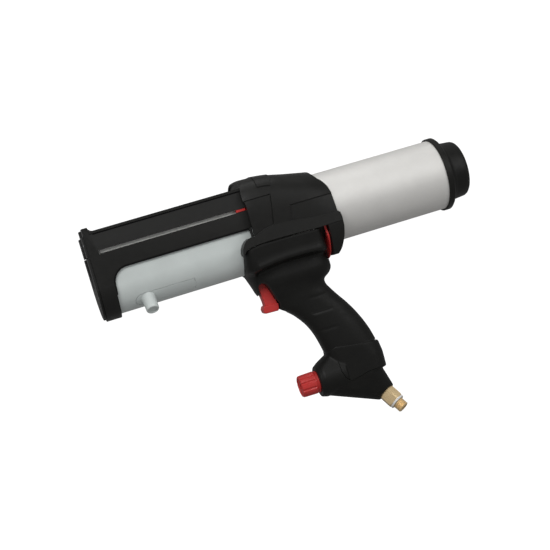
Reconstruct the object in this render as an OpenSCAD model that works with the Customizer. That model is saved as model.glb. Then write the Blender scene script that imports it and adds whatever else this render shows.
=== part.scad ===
// Pneumatic dual-cartridge dispensing gun.
// +X is the dispensing direction, +Z is up and +Y is the left side of the gun.
// The origin is on the barrel axis, at the outer face of the carriage's front wall.

/* [Cylinder] */
// Outside diameter of the air cylinder tube
tube_d = 75.5; // [75:0.1:75.6]
// Bore of the air cylinder tube
bore_d = 70; // [69:0.5:71]
// Travel of the piston, rods and push discs
stroke = 142; // [100:1:142]
// Diameter of each push rod
rod_d = 10; // [8:0.5:11]
// Distance between the two push rods
rod_spacing = 39; // [38.5:0.1:39.5]

/* [Carriage] */
// Half of the outside width of the black carriage
carriage_r = 34; // [33.8:0.1:34]
// Height of the carriage's top edge over the barrel axis
carriage_top = 43.8; // [43.2:0.1:43.9]
// Depth of the barrel axis over the centre of the round bottom
bottom_drop = 13.8; // [13.2:0.1:14]
// Wall thickness of the carriage
carriage_wall = 3.5; // [3:0.1:3.5]
// Wall thickness of the cartridge cradle
cradle_wall = 2.5; // [2:0.1:2.6]
// Width of the slot for the cartridge's outlet
outlet_w = 30; // [26:1:32]
// Radius of the corner between the front band and the side panel
window_r = 17; // [10:1:20]

/* [Trigger] */
// Width of the trigger
trigger_w = 15.4; // [14:0.2:16]

/* [Air inlet] */
// Width across the flats of the inlet fitting
inlet_af = 17; // [16:1:18]
// Major diameter of the inlet's male thread
inlet_thread_d = 13.16; // [12.9:0.01:13.2]
// Angle of the inlet from straight down, towards the back
inlet_lean = 28; // [26:1:30]
// Angle of the inlet from straight down, towards the left side
inlet_side = 27; // [20:1:28]

/* [Regulator] */
// Diameter of the regulator knob
knob_d = 24; // [22:0.5:25]
// Number of grip flutes round the knob
knob_flutes = 10; // [8:1:14]

/* [Hidden] */

fine = 96;             // $fn of large round features
small = 48;            // $fn of small round features
run = 0.05;            // radial running clearance
eps = 0.01;
black = [0.07, 0.07, 0.065];
rubber_black = [0.09, 0.09, 0.085];
red = [0.68, 0.12, 0.11];
grey_blue = [0.66, 0.72, 0.72];
silver = [0.80, 0.80, 0.78];
steel = [0.62, 0.63, 0.65];
brass = [0.85, 0.66, 0.36];
white = [0.93, 0.93, 0.92];
cream = [0.80, 0.80, 0.74];

// Stations along X
front_wall = 6;
band_back = -15.6;     // rear edge of the carriage's front band
frame_back = -190;     // rear end of the carriage frame
panel_low = 2.4;       // lower edge of the side panels
house_front = -161;
house_back = -253;
cover_front = -182;
cover_back = -199;
head_front = -191;
head_lip = -198;       // front end of the tube
head_back = -212;
tube_back = -385;
flange_front = -380.6;
flange_back = -387.5;
cap_back = -410;
piston_front = -361.5;
piston_back = -373.5;
disc_front = -158;
disc_back = -166;
bridge_front = -170;
bridge_back = -174;

// Radii and heights
flange_r = 39.8;
cap_r = 32;
disc_r = 18.4;
slot_low = 19.6;
slot_high = 24;
rail_y = 27.6;         // inner face of the pale rail behind the slot
cradle_top = 13;
pointer_front = -154;
pointer_back = -164;
slot_front = pointer_front + stroke + 2;
slot_back = -176;
pad_t = 2.2;           // thickness of the pads on the front wall
nose_t = 2.6;          // thickness of the plate on the front wall
nose_sink = 1.4;       // depth of the screw heads in the nose plate and pads
cradle_gap = 2.6;      // room behind the front wall for the cartridges' flange
nose_split = 18.6;
handle_gap_z = -17.5;
band_half = 45;
grip_bottom = -148;
knob_z = -173;
knob_front = -172.2;
knob_back = -192.2;
boss_front = -193.2;
regulator_r = 10.5;
inlet_root = [-260.8, 0.4, -206.8];
trigger_pin_x = -163;
trigger_pin_z = -50;
trigger_eye_r = 5.4;
spool_z = -72;
spool_front = -177.4;
valve_front = -186;
valve_back = -224;
valve_r = 9.5;
lever_front = -236.8;
lever_back = -239.2;
lever_half = 42.2;
lever_pin_x = -238;
lever_pin_z = -12;
lever_pin_r = 1.2;
lever_eye_r = 2.8;
lever_gap = 0.4;       // room round the lever's eyes
lever_slot_in = 34.4;  // inner and outer side of the slots that hold the eyes
lever_slot_out = 42.8;
lever_slot_low = -20;
recess_front = -233.2; // depth of the handle's recess for the lever
yoke_front = -240.2;
yoke_foot = -49;
drive_x = -218;         // pipe from the valve up to the cylinder
feed_top = [-211, 0, -83.2];
feed_low = [-238, 0, -149];
rod_r = rod_d / 2;
tube_r = tube_d / 2;
bore_r = bore_d / 2;
rod_z = rod_spacing / 2;
cradle_r = carriage_r - carriage_wall - 0.3;
tongue_angle = 48.6;   // of the tongue's middle, below the horizontal
tongue_half = 14.8;    // half of the angle that the tongue spans
tongue_back = -95;
tongue_round_x = -40.5;
tongue_r = 8;
tongue_tip = -32;
tongue_bead_r = 1.2;   // round root that the tongue flexes about

// Handle sections: height, front x, back x, half width, squareness
handle_stations = [
    [handle_gap_z, -147, -236.5, 44.5, 7], [-30, -147.5, -236.5, 44, 6],
    [-40, -148.5, -236.5, 41.5, 4.4], [-46, -150, -236.5, 36, 3.6], [-52, -151.5, -237.5, 29.5, 3.2],
    [-59, -153, -238.2, 25, 3.2], [-66, -154.6, -236, 22.5, 3.2], [-70.5, -157, -230.5, 20.5, 3],
    [-76, -168, -230.5, 19, 2.8], [-82, -172, -233.8, 18.2, 2.6], [-88, -174, -237.5, 17.5, 2.5],
    [-100, -189, -245.6, 17, 2.4], [-112, -197.8, -252.6, 17, 2.4], [-124, -203, -258.2, 17.5, 2.4],
    [-136, -206, -262.6, 17.5, 2.4], [grip_bottom, -208.6, -265.6, 17, 2.5]
];
hollow_from = 8;       // first station of the grip's hollow
grip_wall = 3.2;
// Housing sections: x, height of the top, half width, squareness
housing_stations = [
    [house_front, 45.9, 43.4, 8], [house_front - 1, 46.8, 43.7, 7.4], [house_front - 4, 49.8, 44, 6],
    [house_front - 6.5, 51.6, 44.1, 5.2], [house_front - 9, 52.4, 44.2, 4.7], [-180, 52, 44.2, 4.5],
    [cover_front, 52.6, 44.3, 4.5], [cover_back, 50.2, 44.3, 4.1], [-214, 47, 44.2, 3.4],
    [-235, 43.1, 43.8, 2.7], [-246, 41.2, 43, 2.3], [house_back, 40, 41.6, 2.1]
];
handle_screw_points = [[-205, -56], [-232, -104], [-252, -138]];
housing_screw_points = [[-173, 48], [-206, 43]];
nose_screw_points = [[-25, 32], [25, 32], [-25, -22], [25, -22]];

// ---------- helpers ----------
// Extrude a YZ outline along X
module along_x(x0, x1) {
    translate([x0, 0, 0]) rotate([90, 0, 90]) linear_extrude(x1 - x0) children();
}
// Extrude an XZ outline along Y
module along_y(y0, y1) {
    translate([0, y1, 0]) rotate([90, 0, 0]) linear_extrude(y1 - y0) children();
}
module rod_x(x0, x1, r, z = 0, y = 0) {
    translate([x0, y, z]) rotate([0, 90, 0]) cylinder(h = x1 - x0, r = r, $fn = r > 15 ? fine : small);
}
module rod_y(y0, y1, r, x, z) {
    translate([x, y1, z]) rotate([90, 0, 0]) cylinder(h = y1 - y0, r = r, $fn = small);
}
module tube_x(x0, x1, r_out, r_in, z = 0) {
    difference() {
        rod_x(x0, x1, r_out, z);
        rod_x(x0 - 1, x1 + 1, r_in, z);
    }
}
// Turned body along X from points of [x, radius]
module turned_x(points) {
    rotate([0, 90, 0]) rotate_extrude($fn = fine)
        polygon([for (p = points) [p[1], p[0]]]);
}
// Outline of a channel with a round bottom
module u_outline(r, top) {
    translate([0, -bottom_drop]) circle(r = r, $fn = fine);
    translate([-r, -bottom_drop]) square([2 * r, top + bottom_drop]);
}
function power_cos(a, n) = sign(cos(a)) * pow(abs(cos(a)), 2 / n);
function power_sin(a, n) = sign(sin(a)) * pow(abs(sin(a)), 2 / n);
// Closed loft through rings of points, which run down or back, each turning left about +Z or +X
module loft(rings) {
    count = len(rings[0]);
    last = len(rings) - 1;
    sides = [
        for (i = [0 : last - 1], k = [0 : count - 1])
            let (a = i * count + k, b = i * count + (k + 1) % count)
            [a, b, b + count, a + count]
    ];
    first_cap = [for (k = [count - 1 : -1 : 0]) k];
    last_cap = [for (k = [0 : count - 1]) last * count + k];
    polyhedron([for (r = rings) each r], concat([first_cap], sides, [last_cap]));
}
// Horizontal ring of the handle for one station, with its wall inset
function handle_ring(s, inset) = [
    for (k = [0 : 39])
        let (a = 9 * k, cx = (s[1] + s[2]) / 2, hx = (s[1] - s[2]) / 2 - inset)
        [cx + hx * power_cos(a, s[4]), (s[3] - inset) * power_sin(a, s[4]), s[0]]
];
// Upright ring of the housing for one station: a rounded top on straight sides
function housing_ring(s, inset) = concat(
    [for (k = [0 : 36]) let (a = 5 * k)
        [s[0], (s[2] - inset) * power_cos(a, s[3]), (s[1] - inset) * power_sin(a, s[3])]],
    [[s[0], inset - s[2], handle_gap_z + 0.5], [s[0], s[2] - inset, handle_gap_z + 0.5]]
);
// Half space on the left (+1) or right (-1) side of the gun
module half_space(side) {
    y0 = side > 0 ? 0 : -200;
    translate([-500, y0, -400]) cube([600, 200, 600]);
}
// Countersunk joint screws through both halves of a shell
module joint_screws(points, y_head, y_tip) {
    for (p = points) {
        rod_y(-y_head, -y_head + 2.4, 2.8, p[0], p[1]);
        rod_y(-y_head + 2.4 - eps, y_tip, 1.45, p[0], p[1]);
    }
}
module joint_holes(points, y_head, y_tip) {
    for (p = points) {
        rod_y(-60, -y_head + 2.4, 3.1, p[0], p[1]);
        rod_y(-y_head, y_tip + 1, 1.5, p[0], p[1]);
    }
}
// A coil spring along X, swept with eight sides
module coil_x(x0, x1, r, wire_r, turns, y, z) {
    steps = 14;
    n = turns * steps;
    points = [
        for (i = [0 : n], k = [0 : 7])
            let (a = 360 * i / steps, b = 45 * k, rr = r + wire_r * cos(b))
            [x0 + wire_r + (x1 - x0 - 2 * wire_r) * i / n + wire_r * sin(b),
             y + rr * cos(a), z + rr * sin(a)]
    ];
    sides = [
        for (i = [0 : n - 1], k = [0 : 7])
            let (a = i * 8 + k, b = i * 8 + (k + 1) % 8)
            [a, b, b + 8, a + 8]
    ];
    polyhedron(points, concat([[for (k = [7 : -1 : 0]) k]], sides, [[for (k = [0 : 7]) n * 8 + k]]));
}

// ---------- carriage ----------
module window_outline() {
    x1 = band_back - window_r;
    z1 = panel_low - window_r;
    translate([frame_back - 5, -70]) square([x1 - frame_back + 5, 70 + panel_low]);
    translate([x1 - eps, -70]) square([window_r + eps, 70 + z1]);
    translate([x1, z1]) circle(r = window_r, $fn = fine);
}
module outlet_outline() {
    translate([0, 2]) circle(d = outlet_w, $fn = fine);
    translate([-outlet_w / 2, 2]) square([outlet_w, 60]);
}
module carriage_frame() color(black) difference() {
    union() {
        along_x(frame_back, 0) u_outline(carriage_r, carriage_top);
        // rolled lip along the top edge
        for (side = [-1, 1]) along_x(frame_back, -front_wall)
            translate([side * carriage_r - 1, carriage_top - 2.6]) square([2, 2.6]);
        // horn over the front wall
        along_y(-carriage_r, carriage_r) difference() {
            translate([-11, carriage_top - eps]) square([11, 4.5]);
            translate([-11, carriage_top + 5.5]) circle(r = 5.5, $fn = small);
        }
    }
    along_x(frame_back - 1, -front_wall)
        u_outline(carriage_r - carriage_wall, carriage_top + 10);
    along_x(-front_wall - 6, 1) outlet_outline();
    along_y(-60, 60) window_outline();
    // indicator slot in the left side panel
    along_y(carriage_r - carriage_wall - 1, carriage_r + 3)
        translate([slot_back, slot_low]) square([slot_front - slot_back, slot_high - slot_low]);
    // groove under the lip
    for (side = [-1, 1]) along_x(frame_back - 1, -front_wall - 3)
        translate([side * carriage_r - 0.7, carriage_top - 4]) square([1.4, 1.4]);
    for (p = nose_screw_points) rod_x(-front_wall - 1, 1, 1.7, p[1], p[0]);
}
// U-shaped lower reinforcing plate on the front wall
module nose_plate() color(black) difference() {
    along_x(0, nose_t) intersection() {
        u_outline(carriage_r - 2, nose_split);
        translate([-50, -60]) square([100, 60 + nose_split]);
    }
    along_x(-1, nose_t + 1) outlet_outline();
    for (p = nose_screw_points) rod_x(-1, nose_t + 1, 1.7, p[1], p[0]);
    for (p = nose_screw_points) rod_x(nose_t - nose_sink, nose_t + 1, 3.4, p[1], p[0]);
}
module nose_pads() color(black) difference() {
    for (side = [-1, 1]) along_x(0, pad_t)
        translate([side > 0 ? outlet_w / 2 + 0.5 : -carriage_r + 2, nose_split + 0.8])
            square([carriage_r - 2 - outlet_w / 2 - 0.5, 21]);
    for (p = nose_screw_points) rod_x(-1, pad_t + 1, 1.7, p[1], p[0]);
    for (p = nose_screw_points) rod_x(pad_t - nose_sink, pad_t + 1, 3.4, p[1], p[0]);
}
module nose_screws() color(steel) for (p = nose_screw_points) {
    face = p[1] > 0 ? pad_t : nose_t;
    difference() {
        rod_x(face - nose_sink + eps, face - 0.2, 3.2, p[1], p[0]);
        translate([face - 1, p[0], p[1]]) rotate([0, 90, 0]) cylinder(h = 2, r = 1.5, $fn = 6);
    }
    rod_x(-front_wall + 0.5, face - nose_sink + 2 * eps, 1.6, p[1], p[0]);
}
module cradle_shell() {
    along_x(frame_back + 1, -front_wall - cradle_gap) difference() {
        u_outline(cradle_r, cradle_top);
        u_outline(cradle_r - cradle_wall, 40);
    }
}
// Frame of the snap tongue: +Y points out through its middle
module on_tongue() translate([0, 0, -bottom_drop]) rotate([-tongue_angle, 0, 0]) children();
// Wedge that holds the tongue, with radial sides and a round tip
module tongue_wedge(grow, back) {
    half = tongue_half + grow;
    on_tongue() intersection() {
        along_x(back, tongue_tip) polygon([[0, 0], [40, 40 * tan(half)], [40, -40 * tan(half)]]);
        union() {
            translate([back, 10, -20]) cube([tongue_round_x - back, 40, 40]);
            rod_y(10, 50, tongue_r + grow / 2, tongue_round_x, 0);
        }
    }
}
// Cylinder along the tongue's hinge line, in the middle of its wall
module tongue_bead(r, half) {
    on_tongue() translate([tongue_back, cradle_r - cradle_wall / 2, -half])
        cylinder(h = 2 * half, r = r, $fn = small);
}
module cradle() color(grey_blue) difference() {
    cradle_shell();
    tongue_wedge(1, tongue_back - 0.6);
    tongue_bead(tongue_bead_r + 0.3, 3.3);
}
module latch_tongue() color(grey_blue) {
    intersection() {
        cradle_shell();
        tongue_wedge(0, tongue_back);
    }
    tongue_bead(tongue_bead_r, 3);
}
// Finger knob on the tongue, leaning out to the side
module latch_knob() color(grey_blue) difference() {
    lean = 36;
    translate([-45.4, 20.4, -35.8]) rotate([180 + lean, 0, 0]) difference() {
        translate([0, 0, -3]) rotate_extrude($fn = small) polygon([
            [0, 0], [7.4, 0], [7.2, 5], [6.9, 6.8], [6.6, 17.8], [6, 18.8], [0, 18.8]
        ]);
        translate([0, 0, 14.4]) cylinder(h = 3, r = 4.6, $fn = small);
    }
    along_x(-60, -30) u_outline(cradle_r + eps, cradle_top);
}
module indicator_rail() color(cream) {
    low = cradle_top + 0.4;
    along_y(rail_y, rail_y + 1.2)
        translate([slot_back + 3, low]) square([slot_front - slot_back - 3, slot_high + 0.6 - low]);
}

// ---------- housing ----------
// Side view of the yoke behind the lever, which is part of both housing halves
module yoke_outline_xz() {
    polygon([
        [yoke_front, handle_gap_z + 1], [yoke_front, yoke_foot], [-247, yoke_foot], [-249, -44],
        [-253, -33], [-255.5, -23], [-256.5, -17], [-255, -5], [-254, 3], [-254.5, 14],
        [house_back, 26], [house_back + 1, 26], [house_back + 1, handle_gap_z + 1]
    ]);
}
module yoke_solid() {
    intersection() {
        along_x(-260, yoke_front + 1) polygon([
            for (k = [0 : 71]) let (a = 5 * k) [43 * power_cos(a, 3), 54 * power_sin(a, 3)]
        ]);
        along_y(-60, 60) yoke_outline_xz();
    }
}
// Flared lower rim, which runs forward over the cradle
module rim_outline_xz() {
    polygon([
        [house_front + 2, -5], [-155, -6.5], [-150, -10], [-147.5, -14], [-147, handle_gap_z + 0.5],
        [-256.5, handle_gap_z + 0.5], [-255.5, -5]
    ]);
}
module housing_solid(inset) {
    loft([for (s = housing_stations) housing_ring(s, inset)]);
}
module rim_solid() {
    along_y(-band_half, band_half) rim_outline_xz();
}
// Everything that the housing and the handle wrap round
module barrel_space(grow) {
    along_x(head_front, -140) u_outline(carriage_r + grow, carriage_top + 0.5);
    for (side = [-1, 1]) along_x(head_front, -140)
        translate([side * carriage_r - 1.4, carriage_top - 3.1]) square([2.8, 3.6]);
    rod_x(-262, head_front + eps, tube_r + 0.05);
}
module cover_space() {
    translate([cover_back, -60, 30]) cube([cover_front - cover_back, 120, 40]);
}
// Slots and pin holes in the rim that hold the lever's two eyes
module lever_space() {
    for (side = [-1, 1]) {
        y0 = side > 0 ? lever_slot_in : -lever_slot_out;
        room = lever_eye_r + lever_gap;
        translate([lever_pin_x - room, y0, lever_slot_low])
            cube([2 * room, lever_slot_out - lever_slot_in, lever_pin_z + room - lever_slot_low]);
        rod_y(side > 0 ? 38 : -44.3, side > 0 ? 44.3 : -38, lever_pin_r, lever_pin_x, lever_pin_z);
    }
}
module housing_half_shell(side) {
    difference() {
        intersection() {
            union() {
                housing_solid(0);
                rim_solid();
                yoke_solid();
            }
            half_space(side);
        }
        barrel_space(0.3);
        difference() {
            cover_space();
            housing_solid(2.5);
        }
        joint_holes(housing_screw_points, 12, 12);
        lever_space();
    }
}
module housing_left() color(black) housing_half_shell(1);
module housing_right() color(black) housing_half_shell(-1);
module housing_screws() color(steel) joint_screws(housing_screw_points, 12, 10);
module top_cover() color(black) difference() {
    intersection() {
        housing_solid(0);
        translate([cover_back + 0.1, -60, 30.1]) cube([cover_front - cover_back - 0.2, 120, 40]);
    }
    housing_solid(2.5);
    barrel_space(0.3);
}

// ---------- air cylinder ----------
module front_head() color(silver) difference() {
    union() {
        rod_x(head_lip, head_front - 0.3, tube_r);
        rod_x(head_back, head_lip + eps, bore_r);
    }
    for (s = [-1, 1]) {
        rod_x(head_back - 1, head_front + 1, rod_r + run, s * rod_z);
        rod_x(head_front - 3.5, head_front + 1, 8, s * rod_z);
    }
    tube_x(head_lip - 8, head_lip - 5.4, bore_r + 1, bore_r - 2.4);
}
module o_ring(x, r_centre, r_wire) {
    translate([x, 0, 0]) rotate([0, 90, 0]) rotate_extrude($fn = fine)
        translate([r_centre, 0]) circle(r = r_wire, $fn = 24);
}
module head_seal() color(rubber_black) o_ring(head_lip - 6.7, bore_r - 1.22, 1.16);
module rod_seals() color(rubber_black) for (s = [-1, 1])
    tube_x(head_front - 3.4, head_front - 0.4, 7.9, rod_r + run, s * rod_z);
module cylinder_tube() color(silver) tube_x(tube_back, head_lip - eps, tube_r, bore_r + eps);
module end_flange() color(black) turned_x([
    [flange_back, 0], [flange_back, flange_r - 1.2], [flange_back + 1.2, flange_r],
    [flange_front - 0.6, flange_r], [flange_front, flange_r - 0.6], [flange_front, tube_r + 0.02],
    [tube_back - eps, tube_r + 0.02], [tube_back - eps, bore_r - run], [flange_front + 1, bore_r - run],
    [flange_front + 1, bore_r - 2.4], [flange_front + 3.6, bore_r - 2.4],
    [flange_front + 3.6, bore_r - run], [piston_back - 1, bore_r - run], [piston_back - 1, 24],
    [piston_back - 3, 24], [piston_back - 3, 0]
]);
module end_seal() color(rubber_black) o_ring(flange_front + 2.3, bore_r - 1.22, 1.16);
module end_cap() color(black) turned_x([
    [cap_back, 0], [cap_back, cap_r - 6], [cap_back + 0.6, cap_r - 4], [cap_back + 1.8, cap_r - 2.6],
    [cap_back + 3.6, cap_r - 1.8], [flange_back - 6, cap_r - 0.6], [flange_back, cap_r], [flange_back, 0]
]);

// ---------- moving ram ----------
module piston() color(silver) difference() {
    rod_x(piston_back, piston_front, bore_r - run);
    tube_x(piston_back + 4, piston_back + 8, bore_r + 1, bore_r - 4);
    for (s = [-1, 1]) {
        rod_x(piston_front - 4, piston_front + 1, rod_r, s * rod_z);
        rod_x(piston_back - 1, piston_front, 3, s * rod_z);
        rod_x(piston_back - 1, piston_back + 4, 5.5, s * rod_z);
    }
}
module piston_seal() color(rubber_black)
    tube_x(piston_back + 4.05, piston_back + 7.95, bore_r - 0.03, bore_r - 3.95);
module rod_bolts() color(steel) for (s = [-1, 1]) difference() {
    union() {
        rod_x(piston_back + 0.3, piston_back + 4, 5, s * rod_z);
        rod_x(piston_back + 4 - eps, piston_front + 8, 2.95, s * rod_z);
    }
    translate([piston_back, 0, s * rod_z]) rotate([0, 90, 0]) cylinder(h = 2.6, r = 2.4, $fn = 6);
}
module push_rods() color(steel) for (s = [-1, 1]) difference() {
    rod_x(piston_front - 4, disc_back, rod_r, s * rod_z);
    rod_x(piston_front - 5, piston_front + 9, 3, s * rod_z);
    rod_x(disc_back - 9, disc_back + 1, 2.5, s * rod_z);
}
module push_disc(z) difference() {
    translate([0, 0, z]) turned_x([
        [disc_back, 0], [disc_back, disc_r - 2], [disc_back + 2, disc_r], [disc_front - 1, disc_r],
        [disc_front, disc_r - 1], [disc_front, 0]
    ]);
    rod_x(disc_back - 1, disc_front + 1, 2.55, z);
    rod_x(disc_front - 3, disc_front + 1, 5, z);
    translate([0, 0, z]) tube_x(disc_front - 1.2, disc_front + 1, 14, 11);
}
module push_disc_upper() color(black) push_disc(rod_z);
module push_disc_lower() color(black) push_disc(-rod_z);
module disc_bolts() color(steel) for (s = [-1, 1]) difference() {
    union() {
        rod_x(disc_front - 2.95, disc_front - 0.3, 4.6, s * rod_z);
        rod_x(disc_back - 8, disc_front - 2.9, 2.45, s * rod_z);
    }
    translate([disc_front - 1.8, 0, s * rod_z]) rotate([0, 90, 0]) cylinder(h = 2, r = 2.3, $fn = 6);
}
module rod_bridge() color(steel) difference() {
    along_x(bridge_back, bridge_front) {
        translate([-8, -rod_z]) square([16, 2 * rod_z]);
        for (s = [-1, 1]) translate([0, s * rod_z]) circle(r = 8, $fn = small);
    }
    for (s = [-1, 1]) rod_x(bridge_back - 1, bridge_front + 1, rod_r + 0.02, s * rod_z);
}
// Red pointer that shows in the slot, on an arm that reaches over the pale rail
module indicator() color(red) {
    arm_low = rod_z + rod_r + 0.4;
    arm_h = 1.8;
    arm_w = 2.5;
    blade_y = rail_y + 1.5;
    blade_t = 1;
    pointer_low = slot_low + 1;
    translate([bridge_front, -2, arm_low]) cube([arm_w, blade_y + blade_t + 2, arm_h]);
    translate([bridge_front, blade_y, pointer_low])
        cube([pointer_front - bridge_front, blade_t, arm_low + arm_h - pointer_low]);
    translate([pointer_back, blade_y, pointer_low])
        cube([pointer_front - pointer_back, carriage_r - 0.6 - blade_y, slot_high - 0.8 - pointer_low]);
}

// ---------- handle ----------
module trigger_pocket() {
    translate([-183, -trigger_w / 2 - 0.5, -95]) cube([26.2, trigger_w + 1, 52]);
    // the cheeks are cut back beside the trigger, below the front wall
    along_y(-60, 60) polygon([
        [-157.4, -58], [-159.5, -56], [-163, -56], [-166, -60], [-168.8, -67], [-172.4, -76],
        [-175, -81], [-174, -88.6], [-172, -95], [-140, -95], [-140, -70.4], [-157.4, -70.4]
    ]);
}
module grip_hollow() {
    loft([for (i = [hollow_from : len(handle_stations) - 1])
        let (s = handle_stations[i], low = i == len(handle_stations) - 1, high = i < hollow_from + 3)
        handle_ring([s[0] - (low ? 1 : 0), high ? s[1] - 12 : s[1], s[2], s[3], s[4]], grip_wall)]);
}
module handle_half(side) {
    difference() {
        intersection() {
            loft([for (s = handle_stations) handle_ring(s, 0)]);
            half_space(side);
        }
        grip_hollow();
        barrel_space(0.3);
        trigger_pocket();
        rod_x(valve_back - 0.2, valve_front + 8, valve_r + 0.1, spool_z);
        rod_y(-14, 14, 2, trigger_pin_x, trigger_pin_z);
        joint_holes(handle_screw_points, 13, 13);
        // recess that the retract lever swings into
        translate([-241, -46, -62]) cube([recess_front + 241, 92, 46]);
        translate([drive_x, 0, spool_z + valve_r]) cylinder(h = 40, r = 3.1, $fn = small);
    }
    intersection() {
        half_space(side);
        difference() {
            for (i = [1, 2])
                rod_y(-13.4, 13.4, 4.2, handle_screw_points[i][0], handle_screw_points[i][1]);
            joint_holes(handle_screw_points, 13, 13);
        }
    }
}
module handle_left() color(rubber_black) handle_half(1);
module handle_right() color(rubber_black) handle_half(-1);
module handle_screws() color(steel) joint_screws(handle_screw_points, 13, 11);

module trigger() color(red) difference() {
    along_y(-trigger_w / 2, trigger_w / 2) polygon(concat(
        [for (a = [0 : 15 : 180])
            [trigger_pin_x + trigger_eye_r * cos(a), trigger_pin_z + trigger_eye_r * sin(a)]],
        [
            [-168.2, -58], [-169.2, -66.5], [-171.8, -75], [-173.6, -80], [-173.2, -86.8], [-172, -88],
            [-159.4, -88], [-158.2, -86.4], [-158.4, -83], [-159.8, -80], [-162.6, -77.6],
            [-163, -74], [-161.2, -66], [-158.6, -57]
        ]
    ));
    rod_y(-20, 20, 2 + run, trigger_pin_x, trigger_pin_z);
}
module trigger_pin() color(steel) rod_y(-13.8, 13.8, 2, trigger_pin_x, trigger_pin_z);
module trigger_spring() color(steel)
    coil_x(valve_front + 0.4, -173.5, 5.2, 0.5, 5, 0, spool_z);

module valve_body() color(silver) difference() {
    rod_x(valve_back, valve_front, valve_r, spool_z);
    rod_x(valve_back + 6, valve_front + 1, 4 + run, spool_z);
    translate([drive_x, 0, spool_z]) cylinder(h = 16, r = 2, $fn = small);
    translate([feed_top[0], 0, spool_z - 16]) cylinder(h = 16, r = 2, $fn = small);
}
module valve_spool() color(steel) difference() {
    union() {
        rod_x(-212, valve_front - 2, 4, spool_z);
        rod_x(valve_front - 2 - eps, spool_front, 3, spool_z);
    }
    for (x = [-209, -199]) tube_x(x - 1, x + 1, 6, 3, spool_z);
}
module spool_seals() color(rubber_black)
    for (x = [-209, -199]) tube_x(x - 0.95, x + 0.95, 4.02, 3.03, spool_z);

// U-shaped lever that straddles the tube behind the handle, with an eye at each end
module retract_lever() color(red) {
    tube_gap = 1.2;
    difference() {
        union() {
            along_x(lever_back, lever_front) difference() {
                intersection() {
                    polygon([for (k = [0 : 71]) let (a = 5 * k)
                        [lever_half * power_cos(a, 2.6), 56 * power_sin(a, 2.6)]]);
                    translate([-60, -60]) square([120, 60 + lever_pin_z]);
                }
                circle(r = tube_r + tube_gap, $fn = fine);
            }
            for (side = [-1, 1])
                rod_y(side > 0 ? 39 : -42, side > 0 ? 42 : -39, lever_eye_r, lever_pin_x, lever_pin_z);
        }
        rod_y(-60, 60, lever_pin_r + run, lever_pin_x, lever_pin_z);
    }
}
module lever_pins() color(steel) for (side = [-1, 1])
    rod_y(side > 0 ? 38.2 : -44.2, side > 0 ? 44.2 : -38.2, lever_pin_r, lever_pin_x, lever_pin_z);

module feed_line(r) {
    v = feed_top - feed_low;
    translate(feed_low) rotate([0, atan2(v[0], v[2]), 0]) cylinder(h = norm(v), r = r, $fn = small);
}
module feed_pipe() color(white) difference() {
    feed_line(3.4);
    feed_line(2.2);
}
module drive_pipe() color(white) translate([drive_x, 0, spool_z + valve_r + 0.1]) difference() {
    cylinder(h = 23.5, r = 3, $fn = small);
    translate([0, 0, -1]) cylinder(h = 26, r = 2, $fn = small);
}

// ---------- regulator and inlet ----------
module on_inlet_axis() {
    translate(inlet_root) rotate([180 + inlet_side, inlet_lean, 0]) children();
}
module regulator_body() color(rubber_black) difference() {
    hull() {
        rod_x(-224, boss_front - 3, 17.2, knob_z + 1.5);
        rod_x(-224, boss_front, 13.5, knob_z);
        translate([-238, 0, grip_bottom - 2]) cylinder(h = 1.7, r = 16.4, $fn = 32);
        translate([-250.5, 0, -190]) cylinder(h = grip_bottom + 190 - 0.4, r = 16.4, $fn = 32);
        translate([-222, 0, grip_bottom - 2]) cylinder(h = 1.7, r = 14, $fn = 32);
        on_inlet_axis() translate([0, 0, -9]) cylinder(h = 9, r = 10.8, $fn = 32);
    }
    rod_x(-240, boss_front + 4, regulator_r, knob_z);
    on_inlet_axis() translate([0, 0, -22]) cylinder(h = 30, r = 6, $fn = small);
    translate([-238, 0, -163]) cylinder(h = 20, r = 3.6, $fn = small);
}
module regulator_knob() color(red) difference() {
    turned_x_at_knob();
    for (k = [0 : knob_flutes - 1]) rotate_knob(360 * k / knob_flutes)
        rod_x(knob_back + 3.4, knob_front - 1.6, 1.7, knob_z + knob_d / 2 + 0.6);
    rod_x(knob_back - 1, knob_front - 5, 3.5, knob_z);
    rod_x(knob_front - 1.2, knob_front + 1, knob_d / 2 - 2.6, knob_z);
}
module turned_x_at_knob() translate([0, 0, knob_z]) turned_x([
    [knob_back, 0], [knob_back, knob_d / 2 - 0.3], [knob_back + 2.6, knob_d / 2 - 0.3],
    [knob_back + 3, knob_d / 2 - 0.8], [knob_back + 3.4, knob_d / 2], [knob_front - 1, knob_d / 2 - 0.4],
    [knob_front, knob_d / 2 - 1.4], [knob_front, 0]
]);
module rotate_knob(a) translate([0, 0, knob_z]) rotate([a, 0, 0]) translate([0, 0, -knob_z]) children();
module adjusting_screw() color(steel) rod_x(-211, knob_front - 5.05, 3.48, knob_z);
module bonnet_bush() color(silver) tube_x(-199, boss_front + 0.6, regulator_r - 0.02, 3.48 + run, knob_z);
module spring_seat() color(steel) difference() {
    rod_x(-207.5, -204, 8.5, knob_z);
    rod_x(-208, -203, 3.48 + run, knob_z);
}
module regulator_spring() color(steel) coil_x(-225.4, -207.8, 7, 0.8, 5, 0, knob_z);
module diaphragm() color(rubber_black) rod_x(-227.4, -225.8, regulator_r - 0.02, knob_z);
module regulator_poppet() color(brass) union() {
    rod_x(-234, -227.6, 3, knob_z);
    rod_x(-238.5, -234 + eps, 5, knob_z);
}
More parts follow.
